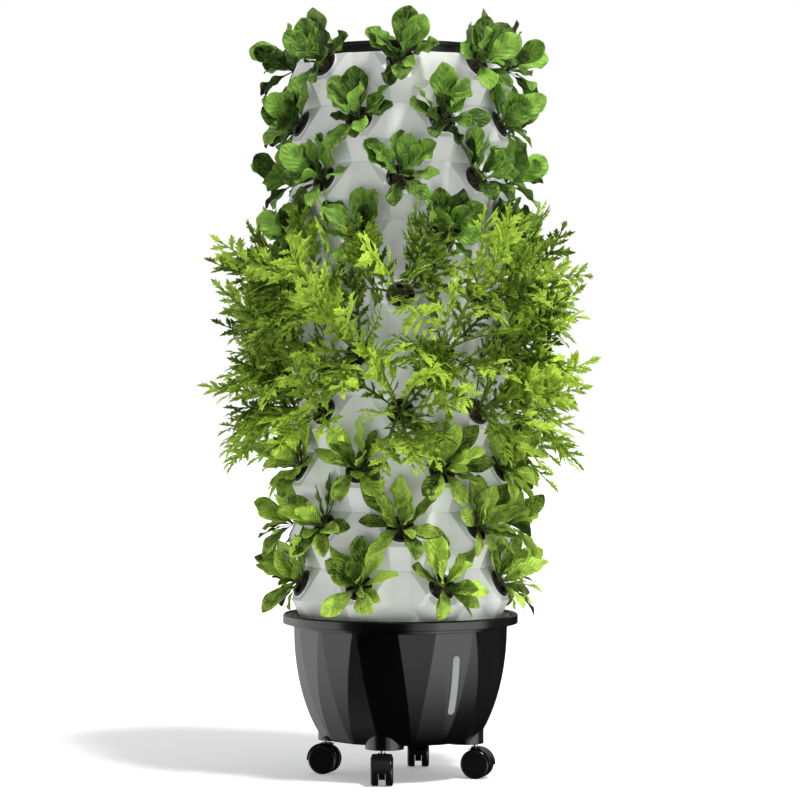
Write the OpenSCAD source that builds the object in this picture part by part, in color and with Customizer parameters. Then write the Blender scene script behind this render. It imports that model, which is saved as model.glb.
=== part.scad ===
// Vertical hydroponic growing tower: a wheeled water tank with a stack of planting layers on it.
// Millimetres. The origin is on the floor at the tower's axis, +Z up, and -Y faces the viewer.

/* [Tank] */
// Height of the boss undersides above the floor
boss_z = 73; // [70:1:90]
// How far the caster bosses stand below the tank's base
boss_drop = 8; // [4:1:20]
// Diameter of a caster boss
boss_d = 80; // [60:1:90]
// Distance of a boss's centre from the axis
boss_at = 138; // [125:1:142]
// Corner radius of the bowl at its flat base
base_r = 160; // [150:1:175]
// Corner radius of the bowl at its mouth
mouth_r = 224.4; // [210:0.2:240]
// Height of the faceted bowl
bowl_h = 236; // [200:1:300]
// Wall thickness of the tank
tank_wall = 3.5; // [2.5:0.5:5]
// How far the rim flange stands out from the bowl's mouth
rim_w = 22.6; // [18:0.2:30]
// Height of the rim flange
rim_h = 20; // [14:1:30]

/* [Level window] */
// Width of the level window
window_w = 16; // [10:1:20]
// Length of the level window
window_l = 122; // [80:1:140]
// Height of the window's middle above the tank base
window_mid = 127; // [110:1:140]

/* [Casters] */
// Wheel radius
wheel_r = 31; // [28:0.5:32]
// Wheel width
wheel_w = 16; // [12:0.5:18]
// Gap between the two wheels of a caster
wheel_gap = 14.6; // [14.6:0.2:18]
// Distance of the swivel stems from the axis
stem_at = 161; // [155:1:163]
// Diameter of the stem in the tank boss
stem_d = 11; // [10:0.5:12]
// Offset of the axle from the swivel axis
trail = 4; // [3:0.5:6]

/* [Tower] */
// Height of one planting layer
layer_h = 119.2; // [110:0.2:130]
// How far the corners where two layers meet lie inside the bowl's mouth
ring_gap = 12.4; // [11:0.2:18]
// Wall thickness of a layer
layer_wall = 2.8; // [2:0.1:4]
// How far a pocket's lip stands out from the layers' corners
lip_out = 23; // [16:0.5:30]
// Width of a pocket's lip
lip_w = 48; // [40:1:56]
// Height of the lip above the layer's bottom edge
lip_z = 50; // [40:1:56]
// Width of the ridge that carries a pocket
ridge_w = 38; // [30:1:46]
// Diameter of a planting hole
hole_d = 50; // [44:1:52]
// Depth of a net cup
cup_h = 46; // [36:1:56]

/* [Top] */
// How much shorter the top layer is than the others
top_cut = 14.2; // [12:0.2:18]
// How far the top ring lies inside the layers' corners
ring_in = 7; // [5:0.5:12]

/* [Pump] */
// Outer diameter of the riser pipe
riser_d = 25; // [22:0.5:32]
// Height of the pump shaft above the tank floor
pump_axis = 34; // [32:1:40]

/* [Plants] */
// Leaf length on the three lower layers
lower_leaf = 104; // [70:1:120]
// Leaf length on the three middle layers
middle_leaf = 222; // [150:1:230]
// Leaf length on the four upper layers
upper_leaf = 112; // [80:1:125]

/* [Hidden] */
$fn = 48;

// Clearances
running_gap = 0.05;   // between a pin and the hole that turns on it
fixed_gap = 0.02;     // between a pin and the hole that holds it
nest_gap = 0.5;       // between a spigot and the opening it drops into
soft_gap = 0.3;       // round a soft piece

// Radii that follow the bowl's mouth
rim_r = mouth_r + rim_w;
ring_r = mouth_r - ring_gap;
lip_at = ring_r + lip_out;
top_ring_r = ring_r - ring_in;

// Heights of the tank
base_z = boss_z + boss_drop;
neck_z = base_z + bowl_h;
neck_h = 6;
rim_z = neck_z + neck_h;
rim_top = rim_z + rim_h;
cover_t = 4;
cover_seat = neck_z + 4;
tower_z = cover_seat + cover_t;

// The bowl has pairs of ridges that spread apart from its mouth down to its base
bowl_sides = 16;
bowl_step = 360 / bowl_sides;
bowl_turn = -2.5;
bowl_levels = 14;

function bowl_u(k) = pow(k / bowl_levels, 1.8);
function bowl_r(u) = base_r + (mouth_r - base_r) * sin(90 * pow(u, 0.72));
function bowl_spread(u) = bowl_step / 2 * (0.1 + 0.8 * (1 - u));
// One level of the bowl: the corners lie at the ridges, moved inwards by the inset
function bowl_ring(u, z, inset) = [for (i = [0:bowl_sides - 1], side = [-1, 1])
    let (a = bowl_turn + bowl_step * i + side * bowl_spread(u), r = bowl_r(u) - inset)
    [r * cos(a), r * sin(a), z]];

// A solid closed by rings of the same number of points, from the bottom up
module ring_solid(rings) {
    n = len(rings[0]);
    m = len(rings);
    pts = [for (r = rings) each r];
    sides = [for (k = [0:m - 2], i = [0:n - 1])
        let (a = k * n + i, b = k * n + (i + 1) % n)
        each [[a, a + n, b + n], [a, b + n, b]]];
    polyhedron(points = pts, faces = concat(
        [[for (i = [0:n - 1]) i]],
        sides,
        [[for (i = [n - 1:-1:0]) (m - 1) * n + i]]));
}

module bowl_solid(inset, floor_t, extra) {
    ring_solid([for (k = [0:bowl_levels])
        let (u = bowl_u(k), z = base_z + bowl_h * u)
        bowl_ring(u, z + (k == 0 ? floor_t : k == bowl_levels ? extra : floor_t * (1 - u)), inset)]);
}

// Casters: name order is front, right, rear, left
swivel_turn = -13.7;
caster_angles = [-90 + swivel_turn, swivel_turn, 90 + swivel_turn, 180 + swivel_turn];
hood_angles = [-90, -18, -90, 162];
stem_r = stem_d / 2;
pin_r = 4;
stem_depth = 34;
socket_h = stem_depth - boss_drop + 4;
hood_t = 2.4;
wheel_clear = 1.2;
hood_r = wheel_r + wheel_clear + hood_t;
hood_w = 42;
web_w = wheel_gap - 1.6;
web_r = 19;
axle_r = 3;
axle_l = wheel_gap + 2 * wheel_w - 6.6;
hood_top = wheel_r + hood_r + 0.7;

module at_stem(i) {
    rotate([0, 0, caster_angles[i]]) translate([stem_at, 0, 0]) children();
}

module at_caster(i) {
    p = [stem_at * cos(caster_angles[i]), stem_at * sin(caster_angles[i]), 0];
    translate(p) rotate([0, 0, hood_angles[i]]) children();
}

// The level window lies in the middle of the flat facet between two upper ridges
window_angle = -70 + bowl_step / 2;
window_frame = 3;

module window_prism(grow) {
    r = window_w / 2 + grow;
    l = window_l - window_w;
    rotate([0, 0, window_angle]) translate([0, 0, base_z + window_mid])
        rotate([0, 90, 0]) translate([0, 0, base_r]) linear_extrude(mouth_r - base_r + 20)
            union() {
                translate([l / 2, 0]) circle(r);
                translate([-l / 2, 0]) circle(r);
                square([l, 2 * r], center = true);
            }
}

module tank() {
    color([0.03, 0.03, 0.035]) difference() {
        union() {
            difference() {
                union() {
                    bowl_solid(0, 0, 0);
                    for (i = [0:3]) rotate([0, 0, caster_angles[i]])
                        translate([boss_at, 0, boss_z]) cylinder(d = boss_d, h = boss_drop + 30);
                }
                bowl_solid(tank_wall, tank_wall, 1);
            }
            rotate_extrude() polygon([
                [mouth_r - 5.4, neck_z - 8], [mouth_r - 5.4, neck_z - 1], [mouth_r + 1.6, neck_z - 1],
                [mouth_r + 1.6, rim_z], [rim_r - 1, rim_z], [rim_r, rim_z + 1],
                [rim_r, rim_top - 3], [rim_r - 3, rim_top], [rim_r - 6, rim_top],
                [rim_r - 7, rim_top - 3.5], [rim_r - 17, rim_top - 3.5], [rim_r - 18, rim_top - 6],
                [mouth_r - 4.4, rim_z + 4], [mouth_r - 4.4, cover_seat], [mouth_r - 15.4, cover_seat],
                [mouth_r - 15.4, cover_seat - 3.5]]);
            // closed sockets inside the tank take the stems
            for (i = [0:3]) at_stem(i) translate([0, 0, base_z])
                cylinder(r = stem_r + 4, h = socket_h);
        }
        for (i = [0:3]) at_stem(i) translate([0, 0, boss_z - 1])
            cylinder(r = stem_r + fixed_gap, h = stem_depth + 1);
        // sight opening, and the outer rebate that the window lies in
        window_prism(-window_frame);
        difference() {
            window_prism(0.2);
            bowl_solid(1.6, 0, 0);
        }
    }
}

module level_window() {
    color([0.72, 0.74, 0.74]) intersection() {
        window_prism(0);
        difference() {
            bowl_solid(-0.6, 0, 0);
            bowl_solid(1.6, 0, 0);
        }
    }
}

spigot_h = 10;
spigot_t = 2.5;
ridge_half = asin(ridge_w / 2 / ring_r);
seam_face = ring_r * cos(22.5 - ridge_half);
spigot_r = seam_face - layer_wall - nest_gap;

module tank_cover() {
    dish_r = spigot_r + nest_gap;
    dish_z = tower_z - spigot_h - 4;
    color([0.05, 0.05, 0.055]) difference() {
        rotate_extrude() polygon([
            [riser_d / 2 + nest_gap, dish_z - 3], [dish_r + 3, dish_z - 3], [dish_r + 3, cover_seat],
            [mouth_r - 4.4 - nest_gap, cover_seat], [mouth_r - 4.4 - nest_gap, tower_z],
            [dish_r, tower_z], [dish_r, dish_z], [riser_d / 2 + nest_gap, dish_z]]);
        // return holes for the water, and the notch for the pump lead
        for (i = [0:11]) rotate([0, 0, 30 * i]) translate([dish_r * 0.75, 0, dish_z - 5])
            cylinder(r = 7, h = 10);
        for (i = [0:7]) rotate([0, 0, 45 * i]) translate([dish_r * 0.4, 0, dish_z - 5])
            cylinder(r = 7, h = 10);
    }
}

module caster_stems() {
    color([0.1, 0.1, 0.11]) for (i = [0:3]) at_stem(i) {
        translate([0, 0, hood_top + 0.3]) cylinder(r = stem_r, h = boss_z + stem_depth - hood_top - 0.5);
        translate([0, 0, wheel_r + 6]) cylinder(r = pin_r, h = hood_top - wheel_r);
    }
}

module caster_hood(i) {
    color([0.04, 0.04, 0.045]) at_caster(i) difference() {
        union() {
            // curved mudguard over the tyres, its edges turned in
            translate([trail, 0, wheel_r]) rotate([90, 0, 0]) rotate([0, 0, -4])
                rotate_extrude(angle = 118, $fn = 96) polygon([
                    [hood_r - hood_t, -hood_w / 2 + 1], [hood_r - hood_t + 0.6, -hood_w / 2],
                    [hood_r - 1.4, -hood_w / 2], [hood_r, -hood_w / 2 + 3],
                    [hood_r, hood_w / 2 - 3], [hood_r - 1.4, hood_w / 2],
                    [hood_r - hood_t + 0.6, hood_w / 2], [hood_r - hood_t, hood_w / 2 - 1]]);
            // web between the wheels, which carries the axle
            translate([trail, 0, wheel_r]) rotate([90, 0, 0]) {
                translate([0, 0, -web_w / 2]) cylinder(r = web_r, h = web_w);
                rotate([0, 0, -4]) rotate_extrude(angle = 118, $fn = 96)
                    polygon([[5, -web_w / 2], [hood_r - 1, -web_w / 2],
                        [hood_r - 1, web_w / 2], [5, web_w / 2]]);
            }
            // seat for the stem's shoulder
            translate([0, 0, hood_top - 4]) cylinder(r = 9, h = 4);
        }
        translate([0, 0, wheel_r + 5.5]) cylinder(r = pin_r + running_gap, h = hood_r);
        translate([trail, 0, wheel_r]) rotate([90, 0, 0])
            cylinder(r = axle_r + fixed_gap, h = 2 * wheel_r, center = true);
    }
}

module caster_axle(i) {
    color([0.6, 0.6, 0.62]) at_caster(i) translate([trail, 0, wheel_r]) rotate([90, 0, 0])
        cylinder(r = axle_r, h = axle_l, center = true);
}

// A wheel is a domed disc with a recess on its inner side; side is 1 or -1 along the axle
module wheel(i, side) {
    in_y = wheel_gap / 2;
    edge = 5;
    color([0.05, 0.05, 0.055]) at_caster(i) translate([trail, 0, wheel_r]) rotate([90 * side, 0, 0])
        translate([0, 0, in_y]) rotate_extrude($fn = 96) difference() {
            union() {
                square([wheel_r - edge, wheel_w]);
                translate([0, 1.5]) square([wheel_r, wheel_w - edge - 1.5]);
                square([wheel_r - 1.5, 3]);
                translate([wheel_r - 1.5, 1.5]) circle(1.5);
                translate([wheel_r - edge, wheel_w - edge]) circle(edge);
            }
            // axle hole, closed on the outside
            translate([-1, -1]) square([axle_r + running_gap + 1, wheel_w - 2]);
            translate([10, -1]) square([wheel_r - 15, 8]);
        }
}

// Tower layers: eight pockets on each, every second layer turned by half a step
layer_count = 10;
pocket_count = 8;
pocket_step = 360 / pocket_count;
valley_z = 45;
function layer_turn(i) = i % 2 == 0 ? pocket_step / 2 : 0;
function layer_z(i) = tower_z + layer_h * i;

// The eight corners of one pocket's sector: ridge foot, lip, valley and top edge
function corner(r, a, z) = [r * cos(a), r * sin(a), z];
function sector(t, inset, zb, zt) =
    let (lip_r = norm([lip_at, lip_w / 2]), lip_a = atan(lip_w / 2 / lip_at),
        side_a = pocket_step / 2 - ridge_half, far_a = pocket_step / 2 + ridge_half,
        r = ring_r - inset)
    [corner(r, t - ridge_half, zb), corner(r, t + ridge_half, zb),
        corner(lip_r - inset, t - lip_a, lip_z), corner(lip_r - inset, t + lip_a, lip_z),
        corner(r, t + side_a, valley_z), corner(r, t + far_a, valley_z),
        corner(r, t + side_a, zt), corner(r, t + far_a, zt)];

// Solid outline of a layer; the foot and top heights let the inner one pass through both ends
module layer_outline(inset, zb, zt) {
    n = pocket_count;
    pts = [for (k = [0:n - 1]) each sector(k * pocket_step, inset, zb, zt)];
    faces = [for (k = [0:n - 1])
        let (a = 8 * k, b = 8 * ((k + 1) % n), c = 8 * ((k + n - 1) % n))
        each [[a + 2, a + 3, a + 1, a], [c + 7, a + 6, a + 3, a + 2],
            [a + 3, a + 6, a + 4], [a + 6, a + 7, a + 5, a + 4], [a + 7, b + 2, a + 5],
            [a + 1, a + 3, a + 4], [a + 1, a + 4, a + 5, b], [a + 5, b + 2, b]]];
    foot = [for (k = [0:n - 1]) each [8 * k, 8 * k + 1]];
    top = [for (k = [n - 1:-1:0]) each [8 * k + 7, 8 * k + 6]];
    polyhedron(points = pts, faces = concat(faces, [foot, top]));
}

// The planting hole's frame: x runs out of the pocket's mouth, at right angles to it
mouth_drop = lip_at - seam_face;
mouth_rise = layer_h - lip_z;
mouth_tilt = atan(mouth_drop / mouth_rise);
mouth_at = lip_at - mouth_drop / 2;
mouth_z = lip_z + mouth_rise / 2;
collar_h = 3;
collar_t = 4.5;
hole_reach = 12;

module at_mouth(i, k) {
    rotate([0, 0, layer_turn(i) + pocket_step * k])
        translate([mouth_at, 0, layer_z(i) + mouth_z]) rotate([0, -mouth_tilt, 0]) children();
}

module layer(i) {
    last = i == layer_count - 1;
    height = last ? layer_h - top_cut : layer_h;
    color([0.93, 0.94, 0.93]) difference() {
        union() {
            translate([0, 0, layer_z(i)]) rotate([0, 0, layer_turn(i)]) {
                difference() {
                    layer_outline(0, 0, layer_h);
                    layer_outline(layer_wall, -1, layer_h + 1);
                    if (last) translate([0, 0, height]) cylinder(r = 2 * ring_r, h = layer_h);
                }
                // shelf at the foot, and the spigot that drops into the layer below
                difference() {
                    intersection() {
                        layer_outline(0.8, 0, layer_h);
                        cylinder(r = ring_r, h = 2.5);
                    }
                    translate([0, 0, -1]) cylinder(r = spigot_r - spigot_t, h = 5);
                }
                translate([0, 0, -spigot_h]) difference() {
                    cylinder(r = spigot_r, h = spigot_h + 1);
                    translate([0, 0, -1]) cylinder(r = spigot_r - spigot_t, h = spigot_h + 3);
                }
                if (last) difference() {
                    intersection() {
                        layer_outline(0.8, 0, layer_h);
                        translate([0, 0, height - 3]) cylinder(r = ring_r, h = 3);
                    }
                    translate([0, 0, height - 5]) cylinder(r = top_bore, h = 10);
                }
            }
            for (k = [0:pocket_count - 1]) at_mouth(i, k) rotate([0, 90, 0])
                translate([0, 0, -1]) cylinder(d = hole_d + 2 * collar_t, h = collar_h + 1);
        }
        for (k = [0:pocket_count - 1]) at_mouth(i, k) rotate([0, 90, 0])
            translate([0, 0, -hole_reach]) cylinder(d = hole_d, h = 2 * hole_reach);
    }
}

// Top: a black ring on the last layer, the water distributor inside it, and a lift-off cover
top_z = layer_z(layer_count - 1) + layer_h - top_cut;
top_bore = top_ring_r - 14;
ring_h = 16;
ledge_t = 3;
lid_t = 8;
dish_depth = 14;
dish_t = 2;
dish_gap = 6;
sleeve_h = 8;
sleeve_t = 3;
drip_in = 26;
drip_r = 2.5;

module top_ring() {
    color([0.03, 0.03, 0.035]) rotate_extrude() polygon([
        [top_bore - 3.5, top_z - 8], [top_bore - nest_gap, top_z - 8], [top_bore - nest_gap, top_z],
        [top_ring_r - 5, top_z], [top_ring_r - 4, top_z + ring_h],
        [top_ring_r - 8, top_z + ring_h], [top_ring_r - 8, top_z + ledge_t],
        [top_bore - 3.5, top_z + ledge_t]]);
}

module top_cover() {
    z = top_z + ring_h;
    color([0.03, 0.03, 0.035]) rotate_extrude() polygon([
        [0, z + 2], [top_ring_r - 14, z + 2], [top_ring_r - 14, z - 8],
        [top_ring_r - 8 - nest_gap, z - 8], [top_ring_r - 8 - nest_gap, z + soft_gap],
        [top_ring_r - 1, z + soft_gap], [top_ring_r, z + 1.5], [top_ring_r, z + lid_t - 2],
        [top_ring_r - 2, z + lid_t], [top_ring_r - 18, z + lid_t], [top_ring_r - 21, z + lid_t - 2],
        [0, z + lid_t - 2]]);
}

module distributor() {
    // shallow dish that rests on the ring's inner ledge, with drip holes near its edge
    z = top_z + ledge_t;
    bore = riser_d / 2 + fixed_gap;
    color([0.85, 0.86, 0.86]) difference() {
        rotate_extrude() polygon([
            [bore, z - dish_depth - sleeve_h], [riser_d / 2 + sleeve_t, z - dish_depth - sleeve_h],
            [riser_d / 2 + sleeve_t, z - dish_depth], [top_bore - dish_gap, z - dish_depth],
            [top_bore - dish_gap, z], [top_bore - 1, z], [top_bore - 1, z + dish_t],
            [top_bore - dish_gap - dish_t, z + dish_t],
            [top_bore - dish_gap - dish_t, z - dish_depth + dish_t], [bore, z - dish_depth + dish_t]]);
        for (k = [0:15]) rotate([0, 0, 22.5 * k]) translate([top_bore - drip_in, 0, z - dish_depth - dish_t])
            cylinder(r = drip_r, h = 4 * dish_t);
    }
}

// Pump: it stands on the tank floor with its outlet on the tower's axis
floor_z = base_z + tank_wall;
shaft_z = floor_z + pump_axis;
chamber_r = 20;
chamber_l = 28;
outlet_r = 8;
outlet_h = 22;
riser_t = 2;
riser_z = shaft_z + chamber_r + 8;
motor_l = 52;
motor_w = 48;
motor_h = 54;
motor_lap = 1.3;
rotor_r = 10;
foot_h = 6;

module riser_pipe() {
    color([0.9, 0.9, 0.9]) translate([0, 0, riser_z]) difference() {
        cylinder(d = riser_d, h = top_z + 8 - riser_z);
        translate([0, 0, -1]) cylinder(r = riser_d / 2 - riser_t, h = top_z + 12 - riser_z);
        // outlets round the top of the pipe, above the dish
        for (a = [0:60:120]) translate([0, 0, top_z - riser_z - 2]) rotate([0, 90, a])
            cylinder(r = 3, h = 60, center = true);
    }
}

module pump_housing() {
    color([0.08, 0.09, 0.1]) difference() {
        union() {
            translate([0, 0, shaft_z]) rotate([90, 0, 0])
                cylinder(r = chamber_r + 5, h = chamber_l, center = true);
            translate([-motor_w / 2, chamber_l / 2 - motor_lap, floor_z + foot_h])
                cube([motor_w, motor_l, motor_h]);
            // shoulder that the riser pipe stands on, and the spigot inside the pipe
            translate([0, 0, shaft_z]) cylinder(d = riser_d, h = riser_z - shaft_z);
            translate([0, 0, shaft_z]) cylinder(r = riser_d / 2 - riser_t - fixed_gap,
                h = riser_z - shaft_z + outlet_h);
            // gland that the lead leaves by
            translate([motor_w / 2 - 8, chamber_l / 2 + motor_l - 2, floor_z + foot_h + motor_h - 12])
                rotate([-90, 0, 0]) cylinder(r = 6, h = 9);
        }
        // chamber, open at the front, and the rotor's sleeve behind it
        translate([0, -chamber_l / 2 - 1, shaft_z]) rotate([-90, 0, 0])
            cylinder(r = chamber_r, h = chamber_l - 3);
        translate([0, -chamber_l / 2, shaft_z]) rotate([-90, 0, 0])
            cylinder(r = rotor_r + 1, h = chamber_l + 30);
        translate([0, -chamber_l / 2, shaft_z]) rotate([-90, 0, 0])
            cylinder(r = 2 + fixed_gap, h = chamber_l + 36);
        translate([0, 0, shaft_z]) cylinder(r = outlet_r, h = riser_z - shaft_z + outlet_h + 1);
        translate([motor_w / 2 - 8, chamber_l / 2 + motor_l - 2, floor_z + foot_h + motor_h - 12])
            rotate([-90, 0, 0]) cylinder(r = 3, h = 14);
    }
}

module pump_cover() {
    // front plate with the slotted inlet
    color([0.12, 0.13, 0.14]) translate([0, -chamber_l / 2, shaft_z]) rotate([90, 0, 0]) difference() {
        union() {
            cylinder(r = chamber_r + 5, h = 4);
            cylinder(r = 13, h = 16);
        }
        translate([0, 0, 4]) cylinder(r = 10, h = 9);
        for (a = [0:60:120]) rotate([0, 0, a]) translate([0, 0, 9]) cube([40, 3, 5], center = true);
        translate([0, 0, -1]) difference() {
            cylinder(r = 9, h = 8);
            cylinder(r = 4, h = 8);
            cube([20, 2.4, 20], center = true);
            cube([2.4, 20, 20], center = true);
        }
        translate([0, 0, -1]) cylinder(r = 2 + fixed_gap, h = 4);
    }
}

module pump_shaft() {
    color([0.85, 0.85, 0.82]) translate([0, -chamber_l / 2 - 2.6, shaft_z]) rotate([-90, 0, 0])
        cylinder(r = 2, h = chamber_l + 38);
}

module pump_impeller() {
    back = chamber_l / 2 - 4.5;
    color([0.75, 0.75, 0.72]) translate([0, 0, shaft_z]) rotate([-90, 0, 0]) difference() {
        union() {
            translate([0, 0, back - 1.5]) cylinder(r = chamber_r - 4, h = 1.5);
            translate([0, 0, -chamber_l / 2 + 1]) cylinder(r = 4.5, h = chamber_l / 2 + back - 1);
            translate([0, 0, back - 1]) cylinder(r = rotor_r, h = 30);
            for (a = [0:60:300]) rotate([0, 0, a]) translate([3, -0.8, -chamber_l / 2 + 1.5])
                cube([chamber_r - 7.5, 1.6, chamber_l / 2 + back - 2]);
        }
        translate([0, 0, -chamber_l]) cylinder(r = 2 + running_gap, h = 3 * chamber_l);
    }
}

module pump_feet() {
    // suction cups under the motor's corners
    color([0.1, 0.1, 0.1]) for (x = [-1, 1], y = [0, 1])
        translate([x * (motor_w / 2 - 9), chamber_l / 2 + 9 + y * (motor_l - 19), floor_z])
            cylinder(r1 = 8, r2 = 5, h = foot_h);
}

// Net cups hang by their flange on the collar of each planting hole
cup_r = hole_d / 2 - 0.4;
cup_foot_r = cup_r * 0.7;
cup_wall = 1.4;
flange_r = hole_d / 2 + collar_t - 0.5;
flange_t = 2;
plug_top = 5;

module net_cup() {
    rotate([0, 90, 0]) translate([0, 0, collar_h]) difference() {
        rotate_extrude() polygon([
            [0, -cup_h], [cup_foot_r, -cup_h], [cup_r, 0], [flange_r, 0], [flange_r, flange_t],
            [cup_r - cup_wall, flange_t], [cup_foot_r - cup_wall, -cup_h + cup_wall],
            [0, -cup_h + cup_wall]]);
        for (a = [0:60:300]) rotate([0, 0, a]) rotate_extrude(angle = 14)
            translate([cup_foot_r - 4, -cup_h * 0.8]) square([cup_r, cup_h * 0.62]);
        translate([0, 0, -cup_h - 1]) cylinder(r = 6, h = 5);
    }
}

module grow_plug() {
    // sponge plug that stands on the cup's floor
    low = -cup_h + cup_wall;
    high = -plug_top;
    slope = (cup_r - cup_foot_r) / cup_h;
    r_low = cup_foot_r - cup_wall - soft_gap;
    rotate([0, 90, 0]) translate([0, 0, collar_h + low])
        cylinder(r1 = r_low, r2 = r_low + slope * (high - low) - soft_gap, h = high - low);
}

module net_cups(from, to) {
    color([0.08, 0.08, 0.08]) for (i = [from:to], k = [0:pocket_count - 1]) at_mouth(i, k) net_cup();
}

module grow_plugs(from, to) {
    color([0.35, 0.25, 0.15]) for (i = [from:to], k = [0:pocket_count - 1]) at_mouth(i, k) grow_plug();
}

// A leaf rises from the crown at angle a0 to the plant's axis and bends to a1 at its tip
function arc_x(s, l, a0, a1) = l * 180 / PI * (sin(a0 + (a1 - a0) * s) - sin(a0)) / (a1 - a0);
function arc_z(s, l, a0, a1) = l * 180 / PI * (cos(a0) - cos(a0 + (a1 - a0) * s)) / (a1 - a0);
// A point beside the axis, turned about it by psi from upright
function about(psi, x, y, z) = [x, y * cos(psi) + z * sin(psi), z * cos(psi) - y * sin(psi)];

// Crops: leaf widths from stalk to tip, fold, angle to the axis at the stalk, angle at the tip of a
// level leaf, how much its own weight bends it, the turn of the first leaf from upright, and the
// length of the outer leaves as a share of the crop's length
crop_lower = [[22, 34, 24], 0.18, 64, 74, 34, 0, 1];
crop_middle = [[14, 46, 36], 0.12, 44, 46, 24, 22, 0.82];
crop_upper = [[20, 42, 42], 0.14, 62, 70, 32, 0, 0.96];
crown_x = 18;
crown_r = 8;
crown_h = 6;
stem_foot_r = 4;
leaf_rib = 1.4;
leaf_count = 7;
leaf_step = 360 / leaf_count;
inner_share = 0.95;
inner_a0 = 14;
inner_a1 = 32;

// The three points of each station of leaf j: two edges and the rib below, then the tip
function leaf_points(crop, l, j) =
    let (inner = j == 2 || j == 5, psi = crop[5] + leaf_step * j, m = len(crop[0]),
        len_j = inner ? l * inner_share : l * crop[6] * (0.9 + 0.1 * cos(psi)),
        a0 = inner ? inner_a0 : crop[2], a1 = inner ? inner_a1 : crop[3] - crop[4] * cos(psi))
    concat(
        [for (k = [1:m])
            let (s = k / (m + 1), a = a0 + (a1 - a0) * s, w = crop[0][k - 1] / 2, up = w * crop[1],
                x = crown_x + arc_x(s, len_j, a0, a1), z = crown_r - 2 + arc_z(s, len_j, a0, a1))
            each [about(psi, x + up * sin(a), w, z - up * cos(a)),
                about(psi, x + up * sin(a), -w, z - up * cos(a)),
                about(psi, x - leaf_rib * sin(a), 0, z + leaf_rib * cos(a))]],
        [about(psi, crown_x + arc_x(1, len_j, a0, a1), 0, crown_r - 2 + arc_z(1, len_j, a0, a1))]);

// One plant: a stem foot, a crown and the leaves that grow out of the crown's side, as one solid
module plant(crop, l) {
    n = leaf_count;
    m = len(crop[0]);
    per_leaf = 3 * m + 1;
    foot_x = collar_h - plug_top + soft_gap;
    rings = concat(
        [for (j = [0:n - 1]) about(crop[5] + leaf_step * (j - 0.5), crown_x, 0, crown_r)],
        [for (j = [0:n - 1]) about(crop[5] + leaf_step * j, crown_x - crown_h, 0, crown_r * 0.6)],
        [for (j = [0:n - 1]) about(crop[5] + leaf_step * j, foot_x, 0, stem_foot_r)]);
    leaves = [for (j = [0:n - 1]) each leaf_points(crop, l, j)];
    leaf_faces = [for (j = [0:n - 1])
        let (base = 3 * n + per_leaf * j, first = [(j + 1) % n, j, n + j])
        each concat(
            [for (c = [0:2])
                let (a = first[c], b = first[(c + 1) % 3])
                each [[a, b, base + (c + 1) % 3], [a, base + (c + 1) % 3, base + c]]],
            [for (k = [0:m - 2], c = [0:2])
                let (a = base + 3 * k + c, b = base + 3 * k + (c + 1) % 3)
                each [[a, b, b + 3], [a, b + 3, a + 3]]],
            [for (c = [0:2])
                [base + 3 * (m - 1) + c, base + 3 * (m - 1) + (c + 1) % 3, base + 3 * m]])];
    body_faces = [for (j = [0:n - 1])
        let (i = (j + 1) % n)
        each [[i, n + j, n + i], [n + j, 2 * n + j, 2 * n + i], [n + j, 2 * n + i, n + i]]];
    polyhedron(points = concat(rings, leaves), faces = concat(leaf_faces, body_faces,
        [[for (j = [n - 1:-1:0]) j]], [[for (j = [0:n - 1]) 2 * n + j]]));
}

module plants(i) {
    crop = i < 3 ? crop_lower : i < 6 ? crop_middle : crop_upper;
    l = i < 3 ? lower_leaf : i < 6 ? middle_leaf : upper_leaf;
    tint = i < 3 ? [0.35, 0.6, 0.1] : i < 6 ? [0.5, 0.72, 0.1] : [0.12, 0.4, 0.1];
    color(tint) for (k = [0:pocket_count - 1]) at_mouth(i, k) plant(crop, l);
}

tank();
level_window();
tank_cover();
caster_stems();
caster_hood(0);  // caster_hood_front
caster_hood(1);  // caster_hood_right
caster_hood(2);  // caster_hood_rear
caster_hood(3);  // caster_hood_left
caster_axle(0);  // caster_axle_front
caster_axle(1);  // caster_axle_right
caster_axle(2);  // caster_axle_rear
caster_axle(3);  // caster_axle_left
wheel(0, 1);  // wheel_front_a
wheel(0, -1);  // wheel_front_b
wheel(1, 1);  // wheel_right_a
wheel(1, -1);  // wheel_right_b
wheel(2, 1);  // wheel_rear_a
wheel(2, -1);  // wheel_rear_b
wheel(3, 1);  // wheel_left_a
wheel(3, -1);  // wheel_left_b
layer(0);  // layer_01
layer(1);  // layer_02
layer(2);  // layer_03
layer(3);  // layer_04
layer(4);  // layer_05
layer(5);  // layer_06
layer(6);  // layer_07
layer(7);  // layer_08
layer(8);  // layer_09
layer(9);  // layer_10
top_ring();
top_cover();
distributor();
riser_pipe();
pump_housing();
pump_cover();
pump_shaft();
pump_impeller();
pump_feet();
net_cups(0, 2);  // net_cups_lower
net_cups(3, 5);  // net_cups_middle
net_cups(6, 9);  // net_cups_upper
grow_plugs(0, 2);  // grow_plugs_lower
grow_plugs(3, 5);  // grow_plugs_middle
grow_plugs(6, 9);  // grow_plugs_upper
plants(0);  // plants_01
plants(1);  // plants_02
plants(2);  // plants_03
plants(3);  // plants_04
plants(4);  // plants_05
plants(5);  // plants_06
plants(6);  // plants_07
plants(7);  // plants_08
plants(8);  // plants_09
plants(9);  // plants_10
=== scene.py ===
import math

import bpy
import numpy as np
from mathutils import Euler, Matrix, Vector


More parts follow.
